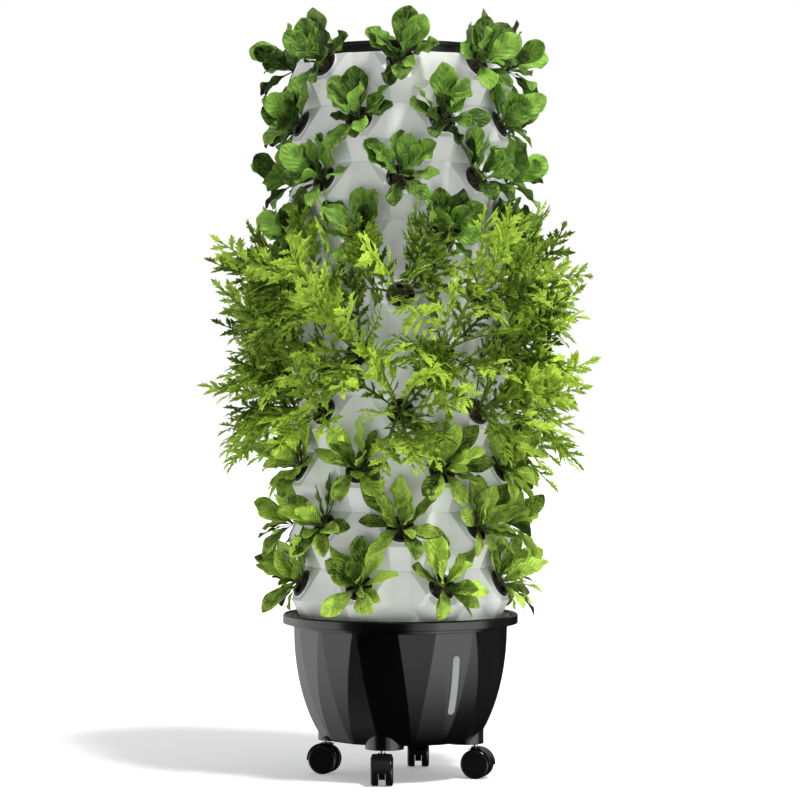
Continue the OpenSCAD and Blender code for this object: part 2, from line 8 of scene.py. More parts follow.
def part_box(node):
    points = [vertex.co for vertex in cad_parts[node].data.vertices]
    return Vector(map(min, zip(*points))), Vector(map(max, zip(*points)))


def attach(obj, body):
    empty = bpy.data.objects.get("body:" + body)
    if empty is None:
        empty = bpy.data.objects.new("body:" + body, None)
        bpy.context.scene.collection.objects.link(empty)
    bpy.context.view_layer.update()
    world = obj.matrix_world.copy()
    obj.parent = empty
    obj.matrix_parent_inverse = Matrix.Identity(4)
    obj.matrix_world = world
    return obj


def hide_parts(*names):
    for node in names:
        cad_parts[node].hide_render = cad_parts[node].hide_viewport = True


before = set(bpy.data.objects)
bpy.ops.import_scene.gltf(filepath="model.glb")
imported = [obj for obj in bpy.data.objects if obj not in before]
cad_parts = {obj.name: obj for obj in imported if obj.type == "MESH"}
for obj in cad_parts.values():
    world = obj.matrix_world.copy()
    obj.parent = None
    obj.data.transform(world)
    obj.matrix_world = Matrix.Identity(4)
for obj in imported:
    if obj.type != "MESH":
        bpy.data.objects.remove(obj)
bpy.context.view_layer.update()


# Studio. A pale seamless floor under a soft white sky, a key light high on the front right, and the
# camera at the height of the tower's middle. Its shift puts the horizon where the picture has it.
PICTURE = 800
HORIZON_ROW = 382
FOCAL_PIXELS = 3020
CAMERA_AWAY = 6.36
CAMERA_HEIGHT = 0.829
CAMERA_ASIDE = -0.001
SENSOR_WIDTH = 36

camera_data = bpy.data.cameras.new("camera")
camera_data.sensor_width = SENSOR_WIDTH
camera_data.lens = SENSOR_WIDTH * FOCAL_PIXELS / PICTURE
camera_data.shift_y = (HORIZON_ROW - PICTURE / 2) / PICTURE
camera = bpy.data.objects.new("camera", camera_data)
camera.location = (CAMERA_ASIDE, -CAMERA_AWAY, CAMERA_HEIGHT)
camera.rotation_euler = (math.pi / 2, 0, 0)
bpy.context.scene.collection.objects.link(camera)
bpy.context.scene.camera = camera
bpy.context.scene.view_settings.view_transform = "Standard"


class Wire:
    """A node socket that takes part in Python sums: each operator adds its Math node."""

    def __init__(self, tree, socket=None):
        self.tree = tree
        self.socket = socket

    def node(self, kind, settings, values, out=0):
        """A new node with its settings set first, then its sockets fed: the wire of one of its outputs."""
        made = self.tree.nodes.new(kind)
        stops = settings.pop("stops", None)
        for key, value in settings.items():
            setattr(made, key, value)
        if stops:
            marks = made.color_ramp.elements
            while len(marks) < len(stops):
                marks.new(1)
            for mark, (place, color) in zip(marks, stops):
                mark.position = place
                mark.color = (*color, 1)
        for key, value in values.items():
            if isinstance(value, Wire):
                self.tree.links.new(value.socket, made.inputs[key])
            else:
                made.inputs[key].default_value = value
        return Wire(self.tree, made.outputs[out])

    def math(self, operation, a, b=0.0):
        return self.node("ShaderNodeMath", {"operation": operation}, {0: a, 1: b})

    def __add__(self, other):
        return self.math("ADD", self, other)

    def __sub__(self, other):
        return self.math("SUBTRACT", self, other)

    def __rsub__(self, other):
        return self.math("SUBTRACT", other, self)

    def __mul__(self, other):
        return self.math("MULTIPLY", self, other)

    def __truediv__(self, other):
        return self.math("DIVIDE", self, other)

    __radd__ = __add__
    __rmul__ = __mul__

    def step(self, low, high):
        """0 below low, 1 above high, smooth between."""
        return self.node("ShaderNodeMapRange", {"interpolation_type": "SMOOTHSTEP"},
                         {0: self, 1: low, 2: high})

    def mix(self, first, second):
        """The first colour where this value is 0, the second where it is 1."""
        return self.node("ShaderNodeMix", {"data_type": "RGBA"}, {0: self, 6: first, 7: second}, 2)

    def noise(self, scale, detail=2.0, roughness=0.5):
        return self.node("ShaderNodeTexNoise", {}, {"Vector": self, "Scale": scale, "Detail": detail,
                                                    "Roughness": roughness})

    def bump(self, height, strength, distance):
        return self.node("ShaderNodeBump", {}, {"Height": height, "Strength": strength,
                                                "Distance": distance})

    def rounded(self, radius):
        """Normals of edges rounded to this radius."""
        return self.node("ShaderNodeBevel", {"samples": 4}, {"Radius": radius})

    def under(self, height, strength, distance):
        """These normals with a bump on them."""
        return self.node("ShaderNodeBump", {}, {"Height": height, "Strength": strength,
                                                "Distance": distance, "Normal": self})


sky = bpy.data.worlds.new("studio")
bpy.context.scene.world = sky
sky.use_nodes = True
sky_tree = sky.node_tree
sky_shader = sky_tree.nodes["Background"]
glossy = Wire(sky_tree).node("ShaderNodeLightPath", {}, {}, "Is Glossy Ray")
seen = glossy.node("ShaderNodeLightPath", {}, {}, "Is Camera Ray")
way = glossy.node("ShaderNodeTexCoord", {}, {}, "Generated")
way_x = way.node("ShaderNodeSeparateXYZ", {}, {0: way}, "X")
way_y = way.node("ShaderNodeSeparateXYZ", {}, {0: way}, "Y")
way_z = way.node("ShaderNodeSeparateXYZ", {}, {0: way}, "Z")
around = way.math("ARCTAN2", way_x, 0 - way_y) / (2 * math.pi) + 0.5

# What the glossy black parts mirror, as (share of the way round from behind, light) pairs: softboxes
# on the left and on the right front with dark between them, which fade a little above the horizon.
SOFTBOXES = [(0.0, 0.1), (0.09, 0.8), (0.14, 1.6), (0.24, 2.0), (0.32, 1.9), (0.345, 0.2), (0.385, 0.05),
             (0.41, 0.0), (0.515, 0.0), (0.54, 1.0), (0.585, 1.5), (0.61, 3.0), (0.73, 2.3), (0.77, 0.15),
             (0.86, 0.1), (0.91, 0.02), (1.0, 0.05)]
stops = [(share, (light, light, light)) for share, light in SOFTBOXES]
mirrored = around.node("ShaderNodeValToRGB", {"stops": stops}, {0: around})
mirrored = way_z.step(-1.0, -0.1).mix((0.0, 0.0, 0.0, 1), mirrored)
mirrored = way_z.step(0.02, 0.26).mix(mirrored, (0.3, 0.3, 0.3, 1))
soft_side = (way_x * 0.5 + way_z * 0.3 + 0.5).step(0.0, 1.0)
soft = soft_side.mix((0.24, 0.25, 0.27, 1), (0.66, 0.66, 0.65, 1))
sky_color = seen.mix(glossy.mix(soft, mirrored), (1.0, 1.0, 1.0, 1))
sky_tree.links.new(sky_color.socket, sky_shader.inputs["Color"])

KEY_FROM = Vector((0.38, -0.48, 1.0))
key_data = bpy.data.lights.new("key", "SUN")
key_data.energy = 3.0
key_data.angle = math.radians(10)
key_data.color = (1.0, 0.985, 0.96)
key = bpy.data.objects.new("key", key_data)
key.rotation_euler = KEY_FROM.to_track_quat("Z", "Y").to_euler()
bpy.context.scene.collection.objects.link(key)


def solid(name, vertices, faces):
    """An object in the scene with these corners and faces."""
    mesh = bpy.data.meshes.new(name)
    mesh.from_pydata([tuple(v) for v in vertices], [], faces)
    piece = bpy.data.objects.new(name, mesh)
    bpy.context.scene.collection.objects.link(piece)
    return piece


def material(name, settings):
    """A Principled material with its fixed sockets set, its shader, and its Object coordinates."""
    made = bpy.data.materials.new(name)
    made.use_nodes = True
    shader = made.node_tree.nodes["Principled BSDF"]
    for socket, value in settings.items():
        shader.inputs[socket].default_value = value
    place = Wire(made.node_tree).node("ShaderNodeTexCoord", {}, {}, "Object")
    return made, shader, place


def feed(shader, **wires):
    """Links wires to the shader's sockets; an underscore in a name stands for a space."""
    for socket, wire in wires.items():
        wire.tree.links.new(wire.socket, shader.inputs[socket.replace("_", " ")])


FLOOR_HALF = 30
floor_finish, shader, place = material("floor", {"Roughness": 0.9, "Specular IOR Level": 0.1,
                                                 "Emission Color": (1, 1, 1, 1), "Emission Strength": 0.3})
feed(shader, Base_Color=place.noise(0.7).mix((0.86, 0.86, 0.88, 1), (0.9, 0.9, 0.91, 1)))
floor_corners = [(x * FLOOR_HALF, y * FLOOR_HALF, 0) for x, y in ((-1, -1), (1, -1), (1, 1), (-1, 1))]
floor = solid("floor", floor_corners, [(0, 1, 2, 3)])
floor.data.materials.append(floor_finish)
floor.visible_glossy = False

# Water tank. A deep faceted bowl, injection-moulded in polished black plastic. Its ridges run in pairs
# that spread from the rim to the base, and a flange with a shallow groove stiffens the mouth.
tank_finish, shader, place = material("polished black plastic", {"IOR": 1.5})
flow = place.noise(9, 3)
feed(shader, Base_Color=flow.mix((0.0012, 0.0012, 0.0014, 1), (0.0022, 0.0022, 0.0025, 1)),
     Roughness=place.noise(35) * 0.08 + 0.13,
     Normal=place.rounded(0.002).under(place.noise(260, 1), 0.04, 0.0004))
BOWL_FOOT, BOWL_RIM = 0.081, 0.317
BASE_RADIUS, MOUTH_RADIUS = 0.160, 0.2244
BOWL_SWELL = 0.72
BOWL_TURN = -2.5
RIDGE_PAIRS = 16
RIM_SPREAD, FOOT_SPREAD = 0.1, 0.8
ON_WALL = 0.006
ON_FACET = 1.0
SLOPE_STEP = 0.002


def wall_reach(z, wide):
    """How far a facet of the bowl lies from the axis at height z: the wide facets narrow upwards."""
    u = min(max((z - BOWL_FOOT) / (BOWL_RIM - BOWL_FOOT), 0.0004), 1)
    radius = BASE_RADIUS + (MOUTH_RADIUS - BASE_RADIUS) * math.sin(math.pi / 2 * u ** BOWL_SWELL)
    spread = math.pi / RIDGE_PAIRS * (RIM_SPREAD + FOOT_SPREAD * (1 - u))
    return radius * math.cos(spread if wide else math.pi / RIDGE_PAIRS - spread)


def wall_slope(z, wide):
    """How fast a facet of the bowl leans out with height."""
    return (wall_reach(z + SLOPE_STEP, wide) - wall_reach(z - SLOPE_STEP, wide)) / (2 * SLOPE_STEP)


def smooth_wall(node):
    """A copy of the bowl that is shaded as the curved wall it stands for, between its sharp ridges."""
    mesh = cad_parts[node].data.copy()
    shaded = [Vector(corner.vector) for corner in mesh.corner_normals]
    for face in mesh.polygons:
        c, n = face.center, face.normal
        radius = math.hypot(c.x, c.y)
        out = (n.x * c.x + n.y * c.y) / radius
        flat = math.hypot(n.x, n.y)
        # the faces of the outer wall look straight out from the axis and a little down
        if not (BOWL_FOOT < c.z < BOWL_RIM and out > 0.95 * flat > 0.1 and n.z < -0.02):
            continue
        if min(abs(radius - wall_reach(c.z, wide)) for wide in (True, False)) > ON_WALL:
            continue
        turn = math.degrees(math.atan2(n.y, n.x)) - BOWL_TURN
        column = round(turn / (180 / RIDGE_PAIRS))
        if abs(turn - column * 180 / RIDGE_PAIRS) > ON_FACET:
            continue
        for loop in face.loop_indices:
            z = mesh.vertices[mesh.loops[loop].vertex_index].co.z
            slope = wall_slope(z, column % 2 == 0)
            shaded[loop] = Vector((n.x / flat, n.y / flat, -slope)).normalized()
    mesh.normals_split_custom_set(shaded)
    piece = bpy.data.objects.new(node + "_moulding", mesh)
    bpy.context.scene.collection.objects.link(piece)
    return piece


tank = smooth_wall("tank")
tank.data.materials.clear()
tank.data.materials.append(tank_finish)
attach(tank, "tower")
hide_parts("tank")

# Level window. A plain strip of frosted plastic that lies in a rebate of one upper facet, so that the
# water shows through it.
window_finish, shader, place = material("frosted window plastic", {"IOR": 1.46})
feed(shader, Base_Color=place.noise(140).mix((0.19, 0.2, 0.2, 1), (0.27, 0.285, 0.285, 1)),
     Roughness=place.noise(300) * 0.2 + 0.35)


def dress(node, finish):
    """Gives a CAD node its finish in place of the plain colour it was packed with."""
    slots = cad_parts[node].data.materials
    slots.clear()
    slots.append(finish)


dress("level_window", window_finish)

# Tank cover. A black moulded deck that drops inside the tank's rim and lifts out by hand. It carries
# the tower.
deck_finish, shader, place = material("satin black plastic", {"IOR": 1.5})
feed(shader, Base_Color=place.noise(30).mix((0.014, 0.014, 0.015, 1), (0.022, 0.022, 0.023, 1)),
     Roughness=place.noise(60) * 0.1 + 0.3)
dress("tank_cover", deck_finish)

# Casters. Turned steel stems pressed into the bosses, and black nylon hoods and twin disc wheels that
# run on a short steel axle.
steel_finish, shader, place = material("turned steel", {"Metallic": 1.0})
feed(shader, Base_Color=place.noise(90).mix((0.36, 0.36, 0.37, 1), (0.5, 0.5, 0.5, 1)),
     Roughness=place.noise(400) * 0.2 + 0.2)
caster_finish, shader, place = material("black nylon", {"IOR": 1.5, "Specular IOR Level": 0.4})
feed(shader, Base_Color=place.noise(50).mix((0.0035, 0.0035, 0.004, 1), (0.006, 0.006, 0.0065, 1)),
     Roughness=place.noise(120) * 0.08 + 0.12, Normal=place.rounded(0.0012))
dress("caster_stems", steel_finish)
for caster in ("front", "right", "rear", "left"):
    dress("caster_axle_" + caster, steel_finish)
    dress("caster_hood_" + caster, caster_finish)
    for side in "ab":
        dress(f"wheel_{caster}_{side}", caster_finish)

# Planting layers. Ten white rings, injection-moulded with eight pockets each, that stack on each other
# with every second one turned by half a pocket.
LAYERS = 10
layer_finish, shader, place = material("white moulded plastic", {"IOR": 1.46, "Subsurface Weight": 0.08,
                                                                 "Subsurface Scale": 0.004})
feed(shader, Base_Color=place.noise(6, 3).mix((0.74, 0.755, 0.75, 1), (0.82, 0.83, 0.825, 1)),
     Roughness=place.noise(40) * 0.12 + 0.34,
     Normal=place.rounded(0.0025).under(place.noise(220), 0.03, 0.0004))
for i in range(1, LAYERS + 1):
    dress(f"layer_{i:02}", layer_finish)

# Top. A black moulded ring that sits on the last layer, and a cover of the same plastic with a raised
# lip, which lifts off.
top_finish, shader, place = material("black top plastic", {"IOR": 1.5, "Specular IOR Level": 0.35})
feed(shader, Base_Color=place.noise(25).mix((0.009, 0.009, 0.01, 1), (0.014, 0.014, 0.015, 1)),
     Roughness=place.noise(60) * 0.1 + 0.36)
dress("top_ring", top_finish)
dress("top_cover", top_finish)

# Water path. A white plastic riser pipe that stands in the pump's outlet on the tower's axis, and the
# moulded drip dish that it feeds, under the top cover.
pipe_finish, shader, place = material("white pipe plastic", {"IOR": 1.5})
feed(shader, Base_Color=place.noise(12).mix((0.72, 0.73, 0.72, 1), (0.8, 0.81, 0.8, 1)),
     Roughness=place.noise(70) * 0.1 + 0.4)
dress("riser_pipe", pipe_finish)
dress("distributor", pipe_finish)

# Pump. A small submersible pump with a resin-filled motor, a slotted inlet, a ceramic shaft and a
# magnet rotor, on rubber suction feet.
pump_finish, shader, place = material("black pump plastic", {"IOR": 1.5})
feed(shader, Base_Color=place.noise(80).mix((0.025, 0.027, 0.03, 1), (0.04, 0.042, 0.046, 1)),
     Roughness=place.noise(200) * 0.2 + 0.4)
ceramic_finish, shader, place = material("ceramic", {"IOR": 1.6})
feed(shader, Base_Color=place.noise(300).mix((0.74, 0.74, 0.7, 1), (0.8, 0.8, 0.77, 1)),
     Roughness=place.noise(500) * 0.1 + 0.15)
rotor_finish, shader, place = material("rotor plastic", {"IOR": 1.5})
feed(shader, Base_Color=place.noise(120).mix((0.5, 0.5, 0.47, 1), (0.58, 0.58, 0.55, 1)),
     Roughness=place.noise(150) * 0.15 + 0.4)
rubber_finish, shader, place = material("suction rubber", {"IOR": 1.5})
feed(shader, Base_Color=place.noise(90).mix((0.02, 0.02, 0.02, 1), (0.035, 0.035, 0.035, 1)),
     Roughness=place.noise(90) * 0.1 + 0.6)
for node, finish in (("pump_housing", pump_finish), ("pump_cover", pump_finish),
                     ("pump_shaft", ceramic_finish), ("pump_impeller", rotor_finish),
                     ("pump_feet", rubber_finish)):
    dress(node, finish)

# Net cups. Slotted cups of matt black plastic, 50 mm across. Each hangs by its flange in the mouth of
# a pocket.
cup_finish, shader, place = material("matt black cup plastic", {"IOR": 1.5})
feed(shader, Base_Color=place.noise(60).mix((0.012, 0.012, 0.012, 1), (0.024, 0.024, 0.023, 1)),
     Roughness=place.noise(160) * 0.15 + 0.4)
BANDS = {"lower": range(0, 3), "middle": range(3, 6), "upper": range(6, LAYERS)}
for band in BANDS:
    dress("net_cups_" + band, cup_finish)

# Sponge plugs. Tapered plugs of dark open-cell foam, one in each net cup, with a small hollow in the
# top that holds the seedling. They are pushed in by hand.
POCKETS = 8
HALF_POCKET = 180 / POCKETS
SPIGOT = 0.010
LAYER_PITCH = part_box("layer_03")[0].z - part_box("layer_02")[0].z
TOWER_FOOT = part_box("layer_02")[0].z + SPIGOT - LAYER_PITCH
MOUTH_OUT = 0.21867
MOUTH_UP = 0.0846
MOUTH_TILT = math.radians(25.27)


def mouth(layer, pocket):
    """The frame of a pocket's mouth: +X runs out of it, and +Z lies up along its face."""
    turn = math.radians(HALF_POCKET if layer % 2 == 0 else 0) + pocket * 2 * math.pi / POCKETS
    return (Matrix.Rotation(turn, 4, "Z")
            @ Matrix.Translation((MOUTH_OUT, 0, TOWER_FOOT + LAYER_PITCH * layer + MOUTH_UP))
            @ Matrix.Rotation(-MOUTH_TILT, 4, "Y"))


sponge_finish, shader, place = material("grow sponge", {"Specular IOR Level": 0.2})
cells = place.node("ShaderNodeTexVoronoi", {}, {"Vector": place, "Scale": 900})
feed(shader, Base_Color=cells.step(0.1, 0.6).mix((0.008, 0.006, 0.004, 1), (0.032, 0.024, 0.016, 1)),
     Roughness=cells * 0.1 + 0.85, Normal=place.bump(cells, 0.6, 0.0006))


def scatter_tree():
    """Stands the pieces of a collection on a mesh's points, each by its own kind, turn and size."""
    tree = bpy.data.node_groups.new("growth", "GeometryNodeTree")
    sockets = (("Crowns", "Geometry"), ("Pieces", "Collection"), ("Finish", "Material"),
               ("Size spread", "Float"), ("Seed", "Int"))
    for name, kind in sockets:
        tree.interface.new_socket(name, in_out="INPUT", socket_type="NodeSocket" + kind)
    tree.interface.new_socket("Growth", in_out="OUTPUT", socket_type="NodeSocketGeometry")
    given = tree.nodes.new("NodeGroupInput")
    pin = {name: Wire(tree, given.outputs[name]) for name, kind in sockets}
    start = pin["Crowns"]

    def attribute(kind, name):
        return start.node("GeometryNodeInputNamedAttribute", {"data_type": kind}, {"Name": name}, "Attribute")

    spread = pin["Size spread"]
    chance = start.node("FunctionNodeRandomValue", {"data_type": "FLOAT"},
                        {2: 1 - spread, 3: 1 + spread, "Seed": pin["Seed"]}, 1)
    size = attribute("FLOAT", "size") * chance
    turn = start.node("FunctionNodeEulerToRotation", {}, {0: attribute("FLOAT_VECTOR", "turn")})
    pieces = start.node("GeometryNodeCollectionInfo", {},
                        {"Collection": pin["Pieces"], "Separate Children": True, "Reset Children": True})
    stood = start.node("GeometryNodeInstanceOnPoints", {},
                       {"Points": pin["Crowns"], "Instance": pieces, "Pick Instance": True,
                        "Instance Index": attribute("INT", "kind"), "Rotation": turn, "Scale": size})
    real = start.node("GeometryNodeRealizeInstances", {}, {0: stood})
    finished = start.node("GeometryNodeSetMaterial", {}, {"Geometry": real, "Material": pin["Finish"]})
    tree.links.new(finished.socket, tree.nodes.new("NodeGroupOutput").inputs[0])
    return tree


growth = scatter_tree()


def grow(name, stands, pieces, finish, spread, seed):
    """One plain mesh of the pieces, stood on (place, turn, size, kind, tone) rows."""
    mesh = bpy.data.meshes.new(name)
    mesh.from_pydata([tuple(stand[0]) for stand in stands], [], [])
    columns = (("turn", "FLOAT_VECTOR", "vector"), ("size", "FLOAT", "value"), ("kind", "INT", "value"),
               ("tone", "FLOAT", "value"))
    for column, (label, kind, field) in enumerate(columns, 1):
        data = mesh.attributes.new(label, kind, "POINT").data
        values = np.array([stand[column] for stand in stands]).ravel()
        data.foreach_set(field, values.astype(np.int32 if kind == "INT" else np.float32))
    crowns = bpy.data.objects.new(name + "_crowns", mesh)
    bpy.context.scene.collection.objects.link(crowns)
    modifier = crowns.modifiers.new("growth", "NODES")
    modifier.node_group = growth
    given = {"Pieces": pieces, "Finish": finish, "Size spread": spread, "Seed": seed}
    for item in growth.interface.items_tree:
        if item.name in given:
            modifier[item.identifier] = given[item.name]
    evaluated = crowns.evaluated_get(bpy.context.evaluated_depsgraph_get())
    grown = bpy.data.meshes.new_from_object(evaluated)
    bpy.data.objects.remove(crowns)
    for label in ("turn", "size", "kind"):
        if label in grown.attributes:
            grown.attributes.remove(grown.attributes[label])
    piece = bpy.data.objects.new(name, grown)
    bpy.context.scene.collection.objects.link(piece)
    return piece


def turned(name, outline, sides):
    """A closed turned solid about Z, from (radius, height) points between its two flat ends."""
    rings = [(r * math.cos(2 * math.pi * k / sides), r * math.sin(2 * math.pi * k / sides), z)
             for r, z in outline for k in range(sides)]
    last = len(outline) - 1
    faces = []
    for i in range(last):
        low, high = i * sides, (i + 1) * sides
        for k in range(sides):
            after = (k + 1) % sides
            faces.append((low + k, low + after, high + after, high + k))
    faces += [tuple(range(sides - 1, -1, -1)), tuple(range(last * sides, (last + 1) * sides))]
    return solid(name, rings, faces)


def shelf(name, pieces):
    """A collection of pieces that stands outside the scene, for growth to pick from."""
    held = bpy.data.collections.new(name)
    for piece in pieces:
        held.objects.link(piece)
        bpy.context.scene.collection.objects.unlink(piece)
    return held


PLUG_FOOT, PLUG_TOP = 0.015, 0.0195
PLUG_LOW, PLUG_HIGH = -0.0416, -0.002
PLUG_EDGE = 0.0015
PLUG_SIDES = 28
HOLLOW_TOP, HOLLOW_FOOT = 0.003, 0.0025
HOLLOW_DEPTH = 0.004
plug = turned("plug", [(PLUG_FOOT - PLUG_EDGE, PLUG_LOW), (PLUG_FOOT, PLUG_LOW + PLUG_EDGE),
                       (PLUG_TOP, PLUG_HIGH - PLUG_EDGE), (PLUG_TOP - PLUG_EDGE, PLUG_HIGH),
                       (HOLLOW_TOP, PLUG_HIGH), (HOLLOW_FOOT, PLUG_HIGH - HOLLOW_DEPTH)], PLUG_SIDES)
plug_shelf = shelf("plugs", [plug])
for band, layers in BANDS.items():
    stands = []
    for layer in layers:
        for pocket in range(POCKETS):
            there = mouth(layer, pocket) @ Matrix.Rotation(math.pi / 2, 4, "Y")
            stands.append((there.translation, there.to_euler(), 1.0, 0, 0.5))
    plugs = grow("sponge_plugs_" + band, stands, plug_shelf, sponge_finish, 0.0, 1)
    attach(plugs, "tower")
    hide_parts("grow_plugs_" + band)


# Lower crop, layers 1 to 3. Bright green leaves, long and widest past the middle, with a drawn-out
# tip and puckered tissue between the veins. They grow from the plug in a rosette of sixteen.
LEAF_THICKNESS = 0.0005
VEIN_SLANT = 2.2


def strip(points, thickness, along, across):
    """A thin closed blade on a grid of points: its corners, its faces and its corners' UVs."""
    rows, cols = points.shape[:2]
    normal = np.cross(np.gradient(points, axis=0), np.gradient(points, axis=1))
    normal /= np.linalg.norm(normal, axis=2, keepdims=True) + 1e-12
    corners = np.vstack([(points + normal * thickness / 2).reshape(-1, 3),
                         (points - normal * thickness / 2).reshape(-1, 3)])
    uv = np.stack(np.meshgrid(np.linspace(*across, cols), np.linspace(*along, rows)), axis=2).reshape(-1, 2)
    back = rows * cols
    faces = []
    for i in range(rows - 1):
        for j in range(cols - 1):
            a = i * cols + j
            faces.append((a, a + cols, a + cols + 1, a + 1))
            faces.append((back + a, back + a + 1, back + a + cols + 1, back + a + cols))
    edge = list(range(cols)) + [i * cols + cols - 1 for i in range(1, rows)]
    edge += [(rows - 1) * cols + j for j in range(cols - 2, -1, -1)]
    edge += [i * cols for i in range(rows - 2, 0, -1)]
    for a, b in zip(edge, edge[1:] + edge[:1]):
        faces.append((a, b, back + b, back + a))
    return corners, faces, np.vstack([uv, uv])


def leaf_mesh(name, strips):
    """One leaf of its strips, with its UVs: along the midrib in V and across it in U."""
    corners = np.vstack([strip_corners for strip_corners, _, _ in strips])
    uv = np.vstack([strip_uv for _, _, strip_uv in strips])
    faces = []
    base = 0
    for strip_corners, strip_faces, _ in strips:
        faces += [tuple(base + i for i in face) for face in strip_faces]
        base += len(strip_corners)
    leaf = solid(name, corners, faces)
    uv_layer = leaf.data.uv_layers.new(name="UVMap")
    index = np.zeros(len(leaf.data.loops), np.int32)
    leaf.data.loops.foreach_get("vertex_index", index)
    uv_layer.data.foreach_set("uv", uv[index].astype(np.float32).ravel())
    leaf.data.shade_smooth()
    return leaf


def midrib(length, bend, lean, stations):
    """A leaf's midrib in its own frame: out along +X, bent down by gravity and swept to one side."""
    s = np.linspace(0, 1, stations)
    down = bend * s ** 1.1
    aside = lean * s ** 1.6
    step = length / (stations - 1)
    way = np.stack([np.cos(down) * np.cos(aside), np.sin(aside), -np.sin(down) * np.cos(aside)], axis=1)
    points = np.vstack([np.zeros(3), np.cumsum((way[1:] + way[:-1]) / 2 * step, axis=0)])
    side = np.stack([-np.sin(aside), np.cos(aside), np.zeros(stations)], axis=1)
    up = np.cross(way, side)
    return s, points, way, side, up


def blade(name, length, width, profile, bend, lean, fold, ripple, waves, twist, rng):
    """A whole leaf: its outline, the fold along the midrib, the waves of its margin and its twist."""
    stations, cols = 22, 9
    s, points, way, side, up = midrib(length, bend, lean, stations)
    half = width / 2 * profile(s)
    t = np.linspace(-1, 1, cols)[None, :, None]
    phase = rng.uniform(0, 2 * math.pi, 2)
    wave = np.where(t > 0, np.sin(2 * math.pi * waves * s[:, None, None] + phase[0]),
                    np.sin(2 * math.pi * waves * s[:, None, None] + phase[1]))
    rise = np.abs(t) * fold - 0.25 * fold * t ** 2 + ripple * wave * np.abs(t) ** 2.2
    veins = np.sin(math.pi * (9 * s[:, None, None] - VEIN_SLANT * np.abs(t)))
    pucker = 0.05 * np.abs(veins) * (1 - np.abs(t))
    roll = (twist * s)[:, None, None]
    h = half[:, None, None]
    side = side[:, None, :] * np.cos(roll) + up[:, None, :] * np.sin(roll)
    up = np.cross(way[:, None, :], side)
    grid = points[:, None, :] + side * t * h * np.cos(np.arctan(fold * 0.7)) + up * h * (rise + pucker)
    return leaf_mesh(name, [strip(grid, LEAF_THICKNESS, (0, 1), (0, 1))])


def oval(stalk, widest, blunt):
    """A leaf's half width as a share, along its length: the stalk's length, the widest place, and how
    blunt the ends are, more so for a lower value."""
    def profile(s):
        u = np.clip((s - stalk) / (1 - stalk), 0, 1)
        k = math.log(0.5) / math.log(widest)
        body = np.sin(math.pi * np.clip(u, 0, 0.999) ** k) ** blunt
        return np.maximum(body, 0.075 * (1 - 0.6 * s))
    return profile


def leaf_finish(name, dark, bright, vein, veins, gloss):
    """Leaf tissue: lighter margins, a pale midrib and side veins, mottled growth, a waxy sheen, and painted
    shade that darkens each leaf towards its base, where the plant's crown shades it.
    """
    finish, shader, place = material(name, {"IOR": 1.42, "Specular IOR Level": 0.38,
                                           "Specular Tint": (0.55, 1.0, 0.3, 1)})
    uv = place.node("ShaderNodeUVMap", {}, {})
    across = uv.node("ShaderNodeSeparateXYZ", {}, {0: uv}, "X")
    along = uv.node("ShaderNodeSeparateXYZ", {}, {0: uv}, "Y")
    tone = uv.node("ShaderNodeAttribute", {"attribute_name": "tone"}, {}, "Fac")
    out = (across - 0.5).math("ABSOLUTE", across - 0.5) * 2
    rib = 1 - out.step(0.02, 0.07)
    mottle = place.noise(55, 4, 0.65)
    fine = place.noise(330, 3, 0.65)
    wave = out.math("SINE", (along * veins - out * VEIN_SLANT + mottle * 0.9) * (2 * math.pi))
    side = wave.step(0.7, 1.0) * (1 - out.step(0.35, 0.95)) * 0.5
    blotch = mottle.step(0.36, 0.62)
    lit = tone * 0.55 + blotch * 0.2 + fine * 0.4 + out * 0.12 - 0.16
    tissue_and_base_shade = lit.step(0.08, 0.85).mix(dark, bright)
    # Painted shade: towards its base each leaf darkens to half its dark colour, standing in for the shade
    # inside the plant's crown.
    tissue_and_base_shade = along.step(0.0, 0.5).mix((dark[0] * 0.5, dark[1] * 0.5, dark[2] * 0.5, 1), tissue_and_base_shade)
    lines = rib.math("MAXIMUM", rib, side)
    stalk = 1 - along.step(0.1, 0.3)
    lines = lines.math("MAXIMUM", lines, stalk * 0.6)
    feed(shader, Base_Color=(lines * (tone * 0.25 + 0.22)).mix(tissue_and_base_shade, vein), Roughness=fine * 0.2 + gloss,
         Normal=place.bump(fine * 0.35 + wave * 0.5 - rib * 0.8 + mottle * 0.5, 0.75, 0.0016))
    return finish


CROWN_OUT = 0.006
CROWN_RADIUS = 0.004
LIFT = math.radians(10)
STAR = 7
UPRIGHT = (2, 5)
UPRIGHT_LEAN, UPRIGHT_SIZE, UPRIGHT_BEND = 14, 0.95, 18
BETWEEN_TURN, BETWEEN_FROM = 137.5, 103
BENDS = 4
VARIANTS = 4


